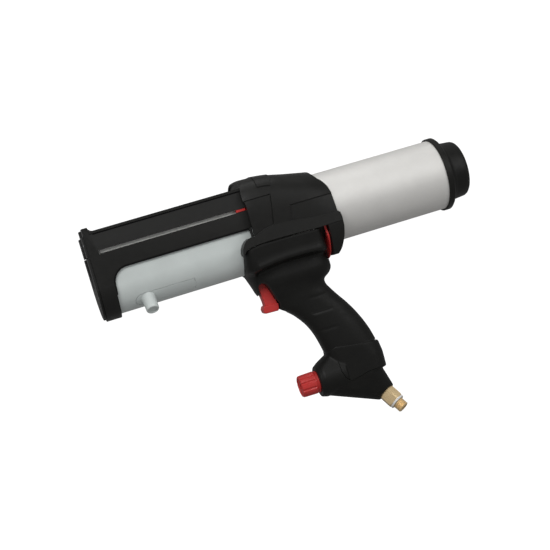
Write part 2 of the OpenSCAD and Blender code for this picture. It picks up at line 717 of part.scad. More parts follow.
module inlet_fitting() color(brass) on_inlet_axis() difference() {
    union() {
        translate([0, 0, -11]) cylinder(h = 11 + eps, r = 5.95, $fn = small);
        intersection() {
            cylinder(h = 14.5, r = inlet_af / 2 / cos(30), $fn = 6);
            rotate_extrude($fn = fine) polygon([
                [0, 0], [8.4, 0], [inlet_af / 2 / cos(30), 1], [inlet_af / 2 / cos(30), 13.4],
                [8.4, 14.5], [0, 14.5]
            ]);
        }
        translate([0, 0, 14.4]) cylinder(h = 2.4, r = 5.6, $fn = small);
        translate([0, 0, 16.6]) cylinder(h = 8.6, r = inlet_thread_d / 2, $fn = fine);
    }
    translate([0, 0, -12]) cylinder(h = 40, r = 3.9, $fn = small);
}
module inlet_washer() color(white) on_inlet_axis() translate([0, 0, 14.52]) difference() {
    cylinder(h = 2.05, r = 8.6, $fn = fine);
    translate([0, 0, -1]) cylinder(h = 4, r = 5.62, $fn = small);
}

carriage_frame();
nose_plate();
nose_pads();
nose_screws();
cradle();
latch_tongue();
latch_knob();
indicator_rail();
top_cover();
housing_left();
housing_right();
housing_screws();
front_head();
head_seal();
rod_seals();
cylinder_tube();
end_flange();
end_seal();
end_cap();
piston();
piston_seal();
rod_bolts();
push_rods();
push_disc_upper();
push_disc_lower();
disc_bolts();
rod_bridge();
indicator();
handle_left();
handle_right();
handle_screws();
trigger();
trigger_pin();
trigger_spring();
valve_body();
valve_spool();
spool_seals();
retract_lever();
lever_pins();
feed_pipe();
drive_pipe();
regulator_body();
regulator_knob();
adjusting_screw();
bonnet_bush();
spring_seat();
regulator_spring();
diaphragm();
regulator_poppet();
inlet_fitting();
inlet_washer();
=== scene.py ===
"""The looks of a compressed-air gun for dual cartridges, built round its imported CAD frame.

Lengths are in millimetres unless a name says otherwise, and are scaled to metres where a mesh is made.
+X is the dispensing direction, +Z is up and +Y is the left side of the gun, which faces the camera.
"""

import math

import bmesh
import bpy
from mathutils import Matrix, Vector


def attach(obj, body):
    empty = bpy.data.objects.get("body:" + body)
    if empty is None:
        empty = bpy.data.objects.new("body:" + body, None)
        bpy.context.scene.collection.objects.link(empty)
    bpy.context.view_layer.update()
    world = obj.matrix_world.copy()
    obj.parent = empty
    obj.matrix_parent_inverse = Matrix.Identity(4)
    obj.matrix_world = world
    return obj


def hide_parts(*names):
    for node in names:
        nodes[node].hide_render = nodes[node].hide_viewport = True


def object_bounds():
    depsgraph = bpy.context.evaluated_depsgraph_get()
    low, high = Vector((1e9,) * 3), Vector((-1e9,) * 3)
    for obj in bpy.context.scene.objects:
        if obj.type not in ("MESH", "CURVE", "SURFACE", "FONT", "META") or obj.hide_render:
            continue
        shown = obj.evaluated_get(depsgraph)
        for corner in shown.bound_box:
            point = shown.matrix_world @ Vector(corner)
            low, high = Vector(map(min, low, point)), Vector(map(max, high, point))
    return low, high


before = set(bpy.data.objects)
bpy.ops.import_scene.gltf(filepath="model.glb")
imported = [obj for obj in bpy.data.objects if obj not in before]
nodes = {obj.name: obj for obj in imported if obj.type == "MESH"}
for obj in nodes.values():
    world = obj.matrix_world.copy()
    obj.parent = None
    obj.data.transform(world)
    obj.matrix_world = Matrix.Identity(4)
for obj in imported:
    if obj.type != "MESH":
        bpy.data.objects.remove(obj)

MM = 0.001
cad_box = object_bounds()


# ---------- camera, light and floor ----------
def aim(obj, target, roll=0.0):
    """Points an object's -Z axis at target, then rolls it about the line of sight."""
    back = (obj.location - target).normalized()
    right = Vector((0, 0, 1)).cross(back).normalized()
    up = back.cross(right)
    turned_right = right * math.cos(roll) - up * math.sin(roll)
    turned_up = right * math.sin(roll) + up * math.cos(roll)
    basis = Matrix((turned_right, turned_up, back)).transposed()
    obj.rotation_euler = basis.to_euler()


def add_camera():
    data = bpy.data.cameras.new("camera")
    data.sensor_width = 36.0
    data.lens = 76.66
    data.clip_end = 50.0
    camera = bpy.data.objects.new("camera", data)
    bpy.context.scene.collection.objects.link(camera)
    camera.location = (0.071, 1.2, 0.0)
    aim(camera, Vector((-0.181, 0.0, -0.0525)), math.radians(16.6))
    bpy.context.scene.camera = camera


def add_softbox(name, place, target, size, watts):
    data = bpy.data.lights.new(name, "AREA")
    data.shape = "RECTANGLE"
    data.size, data.size_y = size
    data.energy = watts
    light = bpy.data.objects.new(name, data)
    bpy.context.scene.collection.objects.link(light)
    light.location = place
    aim(light, Vector(target))


def add_world():
    """A white studio, brighter to the eye than it is as a light."""
    world = bpy.data.worlds.new("studio")
    bpy.context.scene.world = world
    world.use_nodes = True
    tree = world.node_tree
    tree.nodes.clear()
    output = tree.nodes.new("ShaderNodeOutputWorld")
    mix = tree.nodes.new("ShaderNodeMixShader")
    path = tree.nodes.new("ShaderNodeLightPath")
    seen = tree.nodes.new("ShaderNodeBackground")
    shining = tree.nodes.new("ShaderNodeBackground")
    seen.inputs["Strength"].default_value = 1.1
    shining.inputs["Strength"].default_value = 0.26
    for background in (seen, shining):
        background.inputs["Color"].default_value = (1.0, 1.0, 1.0, 1.0)
    tree.links.new(path.outputs["Is Camera Ray"], mix.inputs["Fac"])
    tree.links.new(shining.outputs["Background"], mix.inputs[1])
    tree.links.new(seen.outputs["Background"], mix.inputs[2])
    tree.links.new(mix.outputs["Shader"], output.inputs["Surface"])


def add_floor(lowest):
    mesh = bpy.data.meshes.new("floor")
    half = 12.0
    corners = [(-half, -half, lowest), (half, -half, lowest), (half, half, lowest), (-half, half, lowest)]
    mesh.from_pydata(corners, [], [(0, 1, 2, 3)])
    floor = bpy.data.objects.new("floor", mesh)
    bpy.context.scene.collection.objects.link(floor)
    material = bpy.data.materials.new("floor_white")
    material.use_nodes = True
    shader = material.node_tree.nodes["Principled BSDF"]
    shader.inputs["Base Color"].default_value = (0.30, 0.30, 0.30, 1.0)
    shader.inputs["Roughness"].default_value = 0.9
    shader.inputs["Emission Color"].default_value = (1.0, 1.0, 1.0, 1.0)
    path = material.node_tree.nodes.new("ShaderNodeLightPath")
    glow = material.node_tree.nodes.new("ShaderNodeMapRange")
    glow.inputs["To Min"].default_value = 0.06
    glow.inputs["To Max"].default_value = 0.97
    material.node_tree.links.new(path.outputs["Is Camera Ray"], glow.inputs["Value"])
    material.node_tree.links.new(glow.outputs["Result"], shader.inputs["Emission Strength"])
    mesh.materials.append(material)


# ---------- materials ----------
def make_material(name, colour, roughness, metallic=0.0, mottle=0.12, grain=0.0, grain_mm=0.5,
                  wear=0.0, specular=0.5):
    """A procedural finish: cloudy colour, uneven gloss, moulded or blasted grain and paler worn edges."""
    material = bpy.data.materials.new(name)
    material.use_nodes = True
    tree = material.node_tree
    shader = tree.nodes["Principled BSDF"]
    shader.inputs["Metallic"].default_value = metallic
    shader.inputs["Specular IOR Level"].default_value = specular
    place = tree.nodes.new("ShaderNodeTexCoord")

    def noise(size_mm, detail):
        node = tree.nodes.new("ShaderNodeTexNoise")
        node.inputs["Scale"].default_value = 1000.0 / size_mm
        node.inputs["Detail"].default_value = detail
        tree.links.new(place.outputs["Object"], node.inputs["Vector"])
        return node.outputs["Fac"]

    def blend_colour(factor, first, second):
        node = tree.nodes.new("ShaderNodeMix")
        node.data_type = "RGBA"
        tree.links.new(factor, node.inputs["Factor"])
        for socket, value in ((node.inputs[6], first), (node.inputs[7], second)):
            if isinstance(value, tuple):
                socket.default_value = (*value, 1.0)
            else:
                tree.links.new(value, socket)
        return node.outputs[2]

    def spread(value, low, high, to_low, to_high):
        node = tree.nodes.new("ShaderNodeMapRange")
        node.inputs["From Min"].default_value = low
        node.inputs["From Max"].default_value = high
        node.inputs["To Min"].default_value = to_low
        node.inputs["To Max"].default_value = to_high
        tree.links.new(value, node.inputs["Value"])
        return node.outputs["Result"]

    cloudy = spread(noise(18.0, 4.0), 0.3, 0.7, 0.0, 1.0)
    darker = tuple(c * (1.0 - mottle) for c in colour)
    paler = tuple(min(1.0, c * (1.0 + mottle)) for c in colour)
    base = blend_colour(cloudy, darker, paler)
    if wear:
        edges = tree.nodes.new("ShaderNodeNewGeometry").outputs["Pointiness"]
        worn = tuple(min(1.0, c + wear) for c in colour)
        base = blend_colour(spread(edges, 0.52, 0.60, 0.0, 0.6), base, worn)
    tree.links.new(base, shader.inputs["Base Color"])
    gloss = spread(noise(4.0, 3.0), 0.3, 0.7, roughness - 0.05, roughness + 0.06)
    tree.links.new(gloss, shader.inputs["Roughness"])
    if grain:
        bump = tree.nodes.new("ShaderNodeBump")
        bump.inputs["Strength"].default_value = grain
        bump.inputs["Distance"].default_value = 0.05 * MM
        tree.links.new(noise(grain_mm, 2.0), bump.inputs["Height"])
        tree.links.new(bump.outputs["Normal"], shader.inputs["Normal"])
    return material


FINISHES = {
    "black_plastic": dict(colour=(0.0075, 0.0075, 0.0066), roughness=0.42, grain=0.5, grain_mm=0.45,
                          wear=0.02, specular=0.24),
    "soft_black": dict(colour=(0.0072, 0.0072, 0.0064), roughness=0.46, grain=0.4, grain_mm=0.6,
                       wear=0.012, specular=0.22),
    "grey_blue_plastic": dict(colour=(0.62, 0.665, 0.65), roughness=0.46, grain=0.25, mottle=0.03),
    "red_plastic": dict(colour=(0.58, 0.033, 0.030), roughness=0.36, grain=0.2, mottle=0.08),
    "cream_plastic": dict(colour=(0.93, 0.93, 0.89), roughness=0.5, grain=0.2, mottle=0.08),
    "anodised_aluminium": dict(colour=(0.77, 0.76, 0.735), roughness=0.56, metallic=0.45, grain=0.3,
                               grain_mm=0.3, mottle=0.02),
    "steel": dict(colour=(0.60, 0.61, 0.62), roughness=0.28, metallic=1.0, grain=0.2, grain_mm=0.25,
                  mottle=0.06),
    "brass": dict(colour=(0.98, 0.74, 0.42), roughness=0.28, metallic=0.5, grain=0.2, grain_mm=0.3,
                  mottle=0.05),
    # Very dark and dull: this finish is also used for the strips that paint the shadow along the window's
    # edge and in the groove under the top lip
    "seal_rubber": dict(colour=(0.006, 0.006, 0.006), roughness=0.75, grain=0.2, mottle=0.1,
                        specular=0.15),
    "white_plastic": dict(colour=(0.86, 0.86, 0.85), roughness=0.4, grain=0.2, mottle=0.03),
}
MATERIALS = {name: make_material(name, **finish) for name, finish in FINISHES.items()}


CAD_BEVEL = 0.35


def finish_cad_node(node, slot_name):
    """Gives a CAD node its material, welded faces and small rounded edges."""
    for slot in node.material_slots:
        slot.material = MATERIALS[slot_name]
    weld = node.modifiers.new("weld", "WELD")
    weld.merge_threshold = 0.002 * MM
    rounding = node.modifiers.new("edges", "BEVEL")
    rounding.width = CAD_BEVEL * MM
    rounding.segments = 2
    rounding.limit_method = "ANGLE"
    rounding.angle_limit = math.radians(38)
    rounding.use_clamp_overlap = True
    smooth = node.modifiers.new("normals", "WEIGHTED_NORMAL")
    smooth.keep_sharp = False


# ---------- mesh tools ----------
def add_piece(name, points, faces, slot_name, body="gun", replaced=(), sharp_deg=35.0, bevel=0.0):
    """Makes a piece from points in millimetres, gives it its finish and lets it ride on a body."""
    mesh = bpy.data.meshes.new(name)
    mesh.from_pydata([Vector(p) * MM for p in points], [], faces)
    work = bmesh.new()
    work.from_mesh(mesh)
    bmesh.ops.remove_doubles(work, verts=work.verts, dist=0.004 * MM)
    bmesh.ops.recalc_face_normals(work, faces=work.faces)
    work.to_mesh(mesh)
    work.free()
    piece = bpy.data.objects.new(name, mesh)
    bpy.context.scene.collection.objects.link(piece)
    dress(piece, slot_name, sharp_deg, bevel)
    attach(piece, body)
    if replaced:
        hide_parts(*replaced)
    return piece


def dress(piece, slot_name, sharp_deg, bevel):
    """Gives a piece its material, smooth faces between its sharp edges and, if asked, rounded edges."""
    piece.data.materials.clear()
    piece.data.materials.append(MATERIALS[slot_name])
    piece.data.shade_smooth()
    piece.data.set_sharp_from_angle(angle=math.radians(sharp_deg))
    if bevel:
        rounding = piece.modifiers.new("edges", "BEVEL")
        rounding.width = bevel * MM
        rounding.segments = 3
        rounding.limit_method = "ANGLE"
        rounding.angle_limit = math.radians(sharp_deg)
        rounding.harden_normals = True


def apply_modifiers(piece):
    """Replaces a piece's mesh by what its modifiers make of it."""
    graph = bpy.context.evaluated_depsgraph_get()
    final = bpy.data.meshes.new_from_object(piece.evaluated_get(graph))
    piece.modifiers.clear()
    old = piece.data
    piece.data = final
    bpy.data.meshes.remove(old)


def cut_away(piece, cutters):
    """Cuts closed meshes out of a piece and deletes them."""
    for cutter in cutters:
        cut = piece.modifiers.new("cut", "BOOLEAN")
        cut.operation = "DIFFERENCE"
        cut.solver = "EXACT"
        cut.object = cutter
    bpy.context.view_layer.update()
    apply_modifiers(piece)
    for cutter in cutters:
        bpy.data.objects.remove(cutter)


def loft(rings):
    """Points and faces through rings of equal length, with a cap at each end."""
    count = len(rings[0])
    points = [p for ring in rings for p in ring]
    faces = []
    for i in range(len(rings) - 1):
        for k in range(count):
            a, b = i * count + k, i * count + (k + 1) % count
            faces.append((a, b, b + count, a + count))
    faces.append(tuple(reversed(range(count))))
    faces.append(tuple(range((len(rings) - 1) * count, len(rings) * count)))
    return points, faces


def join_ends(shell, count):
    """Replaces a loft's two caps by faces from its last ring of count points to its first one."""
    points, faces = shell
    last = len(points) - count
    bridge = [(last + k, last + (k + 1) % count, (k + 1) % count, k) for k in range(count)]
    return points, faces[:-2] + bridge


def thick_sheet(outer, inner):
    """A closed shell between two sheets given as equal grids of points."""
    rows, columns = len(outer), len(outer[0])
    points = [p for row in outer for p in row] + [p for row in inner for p in row]
    shift = rows * columns
    faces = []
    for i in range(rows - 1):
        for k in range(columns - 1):
            a = i * columns + k
            quad = (a, a + 1, a + 1 + columns, a + columns)
            faces.append(quad)
            faces.append(tuple(v + shift for v in reversed(quad)))
    edge = list(range(columns))
    edge += [i * columns + columns - 1 for i in range(1, rows)]
    edge += [(rows - 1) * columns + k for k in range(columns - 2, -1, -1)]
    edge += [i * columns for i in range(rows - 2, 0, -1)]
    for a, b in zip(edge, edge[1:] + edge[:1]):
        faces.append((b, a, a + shift, b + shift))
    return points, faces


def prism_y(outline, y0, y1):
    """A plate from an XZ outline between two values of Y."""
    return loft([[(x, y0, z) for x, z in outline], [(x, y1, z) for x, z in outline]])


def join_shells(*shells):
    points, faces = [], []
    for shell_points, shell_faces in shells:
        shift = len(points)
        points += shell_points
        faces += [tuple(v + shift for v in face) for face in shell_faces]
    return points, faces


def mirror_y(shell):
    points, faces = shell
    return [(x, -y, z) for x, y, z in points], [tuple(reversed(face)) for face in faces]


def lerp(a, b, t):
    return a + (b - a) * t


def along(table, u):
    """Straight-line reading of a table of (u, value) pairs with rising u."""
    if u <= table[0][0]:
        return table[0][1]
    for (u0, v0), (u1, v1) in zip(table, table[1:]):
        if u <= u1:
            return lerp(v0, v1, (u - u0) / (u1 - u0))
    return table[-1][1]


def smooth_along(table, u):
    """Catmull-Rom reading of a table whose rows start with a rising u; gives the rest of the row."""
    if u <= table[0][0]:
        return table[0][1:]
    if u >= table[-1][0]:
        return table[-1][1:]
    i = max(k for k in range(len(table) - 1) if table[k][0] <= u)
    before, here, there, after = (table[max(i - 1, 0)], table[i], table[i + 1],
                                  table[min(i + 2, len(table) - 1)])
    step = there[0] - here[0]
    t = (u - here[0]) / step
    values = []
    for k in range(1, len(here)):
        slope_in = (there[k] - before[k]) / (there[0] - before[0]) * step
        slope_out = (after[k] - here[k]) / (after[0] - here[0]) * step
        t2, t3 = t * t, t * t * t
        values.append((2 * t3 - 3 * t2 + 1) * here[k] + (t3 - 2 * t2 + t) * slope_in
                      + (3 * t2 - 2 * t3) * there[k] + (t3 - t2) * slope_out)
    return values


def ease(low, high, value):
    """0 below low, 1 above high and a smooth step between."""
    t = max(0.0, min(1.0, (value - low) / (high - low)))
    return t * t * (3 - 2 * t)


def power_circle(angle, n):
    """Unit superellipse point at an angle in radians."""
    c, s = math.cos(angle), math.sin(angle)
    return math.copysign(abs(c) ** (2 / n), c), math.copysign(abs(s) ** (2 / n), s)


def lathe(profile, steps, place=Matrix.Identity(4), shape=None):
    """Turns (height, radius) points round +Z of place; shape(angle, height, radius) may change a radius."""
    rings = []
    for height, radius in profile:
        ring = []
        for k in range(steps):
            a = math.tau * k / steps
            r = shape(a, height, radius) if shape else radius
            ring.append(place @ Vector((r * math.cos(a), r * math.sin(a), height)))
        rings.append(ring)
    return loft(rings)


def turned_to_x(x, y, z, backwards=False):
    """Places a lathe's axis along +X, or along -X."""
    quarter = -math.pi / 2 if backwards else math.pi / 2
    return Matrix.Translation((x, y, z)) @ Matrix.Rotation(quarter, 4, "Y")


def turned_to_y(x, y, z):
    """Places a lathe's axis along +Y."""
    return Matrix.Translation((x, y, z)) @ Matrix.Rotation(-math.pi / 2, 4, "X")


def rod(radius, low, high, steps, place):
    """A round bar along +Z of place."""
    return lathe([(low, radius), (high, radius)], steps, place)


def bare_mesh(shell):
    """A mesh object with no finish, for cutting with."""
    mesh = bpy.data.meshes.new("cutter")
    mesh.from_pydata([Vector(p) * MM for p in shell[0]], [], shell[1])
    work = bmesh.new()
    work.from_mesh(mesh)
    bmesh.ops.recalc_face_normals(work, faces=work.faces)
    work.to_mesh(mesh)
    work.free()
    cutter = bpy.data.objects.new("cutter", mesh)
    bpy.context.scene.collection.objects.link(cutter)
    return cutter


def screw_hole(x, z, y0, y1):
    """Cutter for a round hole along Y, wide enough for the head of a joint screw."""
    head_r = 3.1
    return bare_mesh(rod(head_r, 0.0, y1 - y0, 40, turned_to_y(x, y0, z)))


# ---------- housing ----------
JOINT = 0.1              # half of the gap between left and right mouldings
GAP_Z = -17.0            # lower edge of the housing's shell
GAP = 0.9                # width of the seam between the housing and the handle
COVER_LINE = 29.3        # lower edge of the front hood
RECESS_LINE = 13.0       # upper edge of the sunk rear panel
WALL = 2.4
# x, height of the top, half width, squareness
HOUSING = [
    (-256.0, 39.6, 41.2, 2.1), (-246.0, 41.2, 43.0, 2.3), (-235.0, 43.1, 43.8, 2.7),
    (-214.0, 47.0, 44.1, 3.2), (-199.0, 50.0, 44.2, 3.7), (-182.0, 52.0, 44.2, 3.9),
    (-170.0, 52.6, 44.2, 3.7), (-166.0, 52.4, 44.1, 3.6), (-164.0, 51.8, 44.0, 3.6),
    (-162.6, 50.8, 43.8, 3.7), (-161.6, 49.8, 43.6, 3.8)
]
# height, x of the housing's front edge: the hood stands out over the side
FRONT = [(-17.0, -163.2), (8.8, -163.6), (28.9, -164.0), (29.6, -161.8), (38.0, -162.4),
         (46.0, -164.4), (55.0, -165.0)]
CREASE = [(-256.0, -8.0), (-252.0, -7.2), (-226.0, -5.3), (-203.0, -2.3), (-185.0, -1.3), (-175.0, -3.0),
          (-163.0, -7.4), (-155.0, -7.6)]
SEAM = [(-17.0, -182.6), (-1.3, -185.5), (5.5, -186.5), (16.5, -189.0), (28.6, -190.8), (50.0, -198.2)]
RECESS_EDGE = [(-3.0, -204.2), (13.0, -207.8), (50.0, -212.0)]
REAR = [(-17.0, -256.0), (-8.0, -254.6), (14.0, -253.9), (22.6, -252.0), (28.6, -248.8), (31.0, -246.0),
        (38.0, -242.6), (43.0, -241.5)]
# middle of the seam between the housing and the handle
GAP_LINE = [(-256.4, -17.4), (-226.0, -17.9), (-202.0, -16.8), (-183.0, -16.4), (-166.0, -16.8),
            (-155.0, -18.2), (-151.0, -19.6), (-147.4, -22.4)]


def housing_side(x, z, inset):
    """Half width of the housing at a height."""
    top, half, n = smooth_along(HOUSING, x)
    share = max(0.0, z) / (top - inset)
    return (half - inset) * max(0.0, 1 - share ** n) ** (1 / n)


def housing_relief(x, z):
    """Height of panels over the plain shell: a proud hood in front, a sunk panel behind, a seam between."""
    relief = 0.0
    front = x > along(SEAM, z) + 0.01
    if front and z < COVER_LINE:
        relief -= 1.2
    if x < along(RECESS_EDGE, z) - 0.01 and z < RECESS_LINE:
        relief -= 1.5
    if z < along(CREASE, x) - 0.6:
        relief -= 1.6
    return relief


def housing_half():
    """The left half as a thick sheet whose rows and columns follow the panel lines."""
    step = 0.22          # half width of a panel edge
    row_marks = [("low", 0.0), ("low", 1.0), ("side", 0.06), ("side", 0.25), ("side", 0.5), ("side", 0.75),
                 ("side", 1.0), ("mid", 0.0), ("mid", 0.25), ("mid", 0.5), ("mid", 0.75), ("mid", 1.0)]
    crown = 26
    row_marks += [("crown", k / crown) for k in range(crown + 1)]
    column_marks = [("front", t) for t in (0.0, 0.04, 0.09, 0.15, 0.21, 0.28, 0.36, 0.48, 0.6, 0.72,
                                           0.86, 1.0)]
    column_marks += [("middle", t) for t in (0.0, 0.2, 0.4, 0.6, 0.8, 1.0)]
    column_marks += [("rear", t) for t in (0.0, 0.12, 0.25, 0.38, 0.5, 0.62, 0.75, 0.88, 0.96, 1.0)]

    def place(row, column, inset):
        zone, t = row
        part, s = column
        x, z = -200.0, 10.0
        for _ in range(4):
            seam, recess, rear = along(SEAM, z), along(RECESS_EDGE, z), along(REAR, z)
            if part == "front":
                x = lerp(along(FRONT, z), seam + step, s)
            elif part == "middle":
                x = lerp(seam - step, recess + step, s)
            else:
                x = lerp(recess - step, rear, s)
            crease = along(CREASE, x)
            if zone == "low":
                z = lerp(GAP_Z, crease - 1.2, t)
            elif zone == "side":
                z = lerp(crease - 1.2, RECESS_LINE - step, t)
            elif zone == "mid":
                z = lerp(RECESS_LINE + step, COVER_LINE - step, t)
            else:
                top, half, n = smooth_along(HOUSING, x)
                low = math.asin(((COVER_LINE + step) / top) ** (n / 2))
                z = (top - inset) * math.sin(lerp(low, math.pi / 2, t)) ** (2 / n)
        y = housing_side(x, z, inset)
        if zone == "crown" and t == 1.0:
            y = 0.08
        relief = housing_relief(x, z) if not inset else 0.0
        top, half, n = smooth_along(HOUSING, x)
        tilt = math.atan2(max(0.0, z / top) ** (n - 1) * half, max(0.02, y / half) ** (n - 1) * top)
        return x, y + relief * math.cos(tilt), z + relief * math.sin(tilt)

    outer = [[place(r, c, 0.0) for c in column_marks] for r in row_marks]
    inner = [[place(r, c, WALL) for c in column_marks] for r in row_marks]
    return thick_sheet(outer, inner)


def rim_half():
    """The flared band over the seam, which runs forward beside the trough as a rounded nose."""
    crease = [(x, z) for x, z in CREASE if x < -160.0]
    nose = [(-160.0, -7.2), (-157.0, -7.8), (-153.6, -9.2), (-150.4, -12.2), (-148.0, -16.0),
            (-146.8, -20.2), (-146.8, -22.8), (-147.4, -23.6)]
    low = [(x, z + GAP / 2) for x, z in reversed(GAP_LINE[1:-1])]
    outline = [(-256.4, -17.0), (-256.6, -13.5)] + crease + nose + low
    inner = [(x, 42.4, z) for x, z in outline]
    outer = [(x, 44.2 + 0.8 * ease(4.0, 10.0, -z), z) for x, z in outline]
    inner_nose = [(-191.0, GAP_Z), (-191.0, -8.0), (-161.0, -8.0)] + nose[1:] + low[:3]
    post = [(-163.6, -8.4), (-161.4, -8.4), (-161.4, 2.0), (-163.6, 2.0)]
    return join_shells(loft([inner, outer]), prism_y(inner_nose, 30.6, 42.6), prism_y(post, 34.4, 38.6))


def hood_face():
    """Left half of the wall that closes the hood's front round the carriage."""
    front_x, back_x, measured_x = -165.6, -167.2, -164.0
    side_y, top_z, low_z = 34.5, 44.5, -7.0      # outline of the carriage that the wall clears
    corner_y, inset = 39.0, 0.9
    top, half, n = smooth_along(HOUSING, measured_x)

    def shell_height(y):
        return (top - inset) * (1 - (y / (half - inset)) ** n) ** (1 / n)

    rings = []
    for k in range(33):
        t = k / 32
        if t < 0.5:
            y, z = lerp(JOINT, side_y, 2 * t), top_z
            shell_y = lerp(JOINT, corner_y, 2 * t)
            shell_z = shell_height(shell_y)
        else:
            y, z = side_y, lerp(top_z, low_z, 2 * t - 1)
            shell_z = lerp(shell_height(corner_y), low_z, 2 * t - 1)
            shell_y = min(housing_side(measured_x, shell_z, 1.6), 42.3)
        rings.append([(front_x, shell_y, shell_z), (back_x, shell_y, shell_z), (back_x, y, z),
                      (front_x, y, z)])
    return loft(rings)


def yoke_half():
    """Left half of the saddle under the tube, behind the lever."""
    front_x, bottom = -240.2, -49.4
    back = [(-49.4, -246.4), (-48.6, -247.2), (-44.0, -250.0), (-33.0, -254.2), (-23.0, -256.4),
            (-14.0, -256.6)]
    sleeve_corners = [(-228.0, 38.65), (-243.0, 38.65), (-243.0, 37.9), (-228.0, 37.9)]      # x, radius
    tube_r = 37.95
    rings, sleeve = [], []
    for k in range(33):
        a = math.radians(lerp(-9.6, -90.0, k / 32))
        c, s = power_circle(a, 3.2)
        y, z = 44.6 * c, max(bottom, 54.0 * s)
        inner = Vector((math.cos(a), math.sin(a))) * tube_r
        rear = along(back, z)
        rear_in = along(back, max(bottom, inner.y))
        y_in = max(0.0, inner.x)
        rings.append([(front_x, y, z), (rear, y, z), (rear_in, y_in, inner.y), (front_x, y_in, inner.y)])
        c, s = math.cos(a), math.sin(a)
        sleeve.append([(x, r * c, r * s) for x, r in sleeve_corners])
    return join_shells(loft(rings), loft(sleeve))


def hood_band():
    """The raised saddle across the top, between the hood and the rear shell."""
    proud, front_x = 0.75, -180.6
    rows, inner_rows = [], []
    low = COVER_LINE + 0.6
    for k in range(65):
        angle = lerp(math.radians(35), math.radians(145), k / 64)
        row, inner_row = [], []
        for t in (0.0, 0.25, 0.5, 0.75, 1.0):
            for grown, target in ((proud, row), (-0.6, inner_row)):
                z = 45.0
                for _ in range(4):
                    x = lerp(front_x, along(SEAM, z) - 0.3, t)
                    top, half, n = smooth_along(HOUSING, x)
                    c, s = power_circle(angle, n)
                    z = (top + grown) * s
                target.append((x, (half + grown) * c, max(z, low)))
        rows.append(row)
        inner_rows.append(inner_row)
    return thick_sheet(rows, inner_rows)


def add_housing():
    left = (housing_half(), join_shells(rim_half(), yoke_half()), hood_face())
    for side, parts in (("left", left), ("right", [mirror_y(part) for part in left])):
        shell, band, face = parts
        node = "housing_" + side
        piece = add_piece(node + "_shell", *shell, "black_plastic", "gun", (node,), sharp_deg=28.0,
                          bevel=0.22)
        add_piece("hood_face_" + side, *face, "black_plastic", "gun", (node,), sharp_deg=30.0)
        if side == "right":
            cut_away(piece, [screw_hole(x, z, -60.0, -9.6) for x, z in HOUSING_SCREWS])
            dress(piece, "black_plastic", 28.0, 0.0)
        add_piece(node + "_rim", *band, "black_plastic", "gun", (node,), sharp_deg=30.0, bevel=0.8)
    add_piece("hood_band", *hood_band(), "black_plastic", "gun", ("top_cover",), sharp_deg=30.0, bevel=0.3)


# ---------- handle ----------
# depth below the axis, front x, back x, half width behind the nose, half width of the nose, squareness
HANDLE = [
    (17.4, -148.9, -233.6, 43.6, 43.6, 9.0), (24.0, -148.6, -234.4, 42.7, 43.4, 8.5),
    (31.0, -147.8, -235.6, 42.0, 42.6, 7.5), (35.5, -147.6, -236.4, 42.1, 41.8, 6.8),
    (38.5, -147.6, -236.8, 42.6, 41.2, 6.4), (40.5, -147.8, -237.0, 42.2, 40.2, 6.0),
    (42.0, -148.4, -237.2, 40.0, 38.8, 5.4),
    (43.2, -149.0, -237.4, 33.4, 37.8, 4.6), (44.6, -149.8, -237.6, 28.6, 36.8, 4.2),
    (46.5, -150.6, -238.0, 26.6, 35.4, 4.0), (51.0, -151.8, -239.2, 26.8, 32.6, 3.6),
    (56.0, -153.2, -239.8, 27.2, 29.8, 3.2), (61.0, -154.6, -239.6, 25.8, 27.2, 3.0),
    (66.0, -156.0, -236.4, 22.8, 23.8, 2.9),
    (70.4, -158.4, -230.4, 20.8, 21.2, 2.8), (76.0, -166.0, -230.2, 19.2, 19.2, 2.6),
    (82.0, -171.0, -233.4, 18.4, 18.4, 2.5), (88.0, -174.6, -237.2, 17.7, 17.7, 2.4),
    (94.0, -182.4, -241.2, 17.3, 17.3, 2.35), (100.0, -188.8, -245.4, 17.1, 17.1, 2.3),
    (112.0, -197.6, -252.4, 17.1, 17.1, 2.3), (124.0, -203.0, -258.0, 17.4, 17.4, 2.3),
    (136.0, -206.2, -262.4, 17.4, 17.4, 2.3), (148.0, -208.6, -265.4, 17.0, 17.0, 2.4)
]
# how far the ridge over the scoop rises along the handle
RIDGE_LIFT = [(-233.0, 1.0), (-222.0, 1.8), (-207.0, 2.8), (-192.0, 3.0), (-176.0, 2.2), (-164.0, 0.6),
              (-155.0, -1.0)]
GRIP_GROOVES = (85.6, 102.5, 121.8)
HANDLE_SCREWS = [(-205.0, -56.0), (-232.0, -104.0), (-252.0, -138.0)]
HOUSING_SCREWS = [(-173.0, 48.0), (-206.0, 43.0)]


def handle_ring(depth):
    """Half ring of the left handle half, from its front round to its back."""
    front, back, behind, nose, n = smooth_along(HANDLE, depth)
    middle, reach = (front + back) / 2, (front - back) / 2
    groove = sum(math.exp(-((depth - g) / 0.8) ** 2) for g in GRIP_GROOVES)
    top_share = 1 - ease(17.4, 26.0, depth)
    ridge_share = ease(24.0, 37.0, depth) * (1 - ease(45.0, 58.0, depth))
    front_n = lerp(n, 2.8, ease(39.0, 47.0, depth))
    ring = []
    for k in range(73):
        c, s = power_circle(math.pi * k / 72, front_n if k < 36 else n)
        x = middle + reach * c
        half = lerp(behind, nose, ease(-160.5, -155.5, x))
        y = half * s - 0.8 * groove * (1 - ease(8.0, 13.0, abs(x + 215.0)))
        top = along(GAP_LINE, x) - GAP / 2
        z = -depth + top_share * (17.4 + top) + ridge_share * along(RIDGE_LIFT, x)
        ring.append((x, max(JOINT, y), z))
    return ring


def handle_half():
    sharp = [40.8, 41.4, 41.9, 42.3, 42.7, 43.1, 43.6, 44.2, 44.9]
    even = [17.4 + 1.35 * k for k in range(97)] + [148.0]
    depths = sorted(set(even + sharp))
    return loft([handle_ring(d) for d in depths])


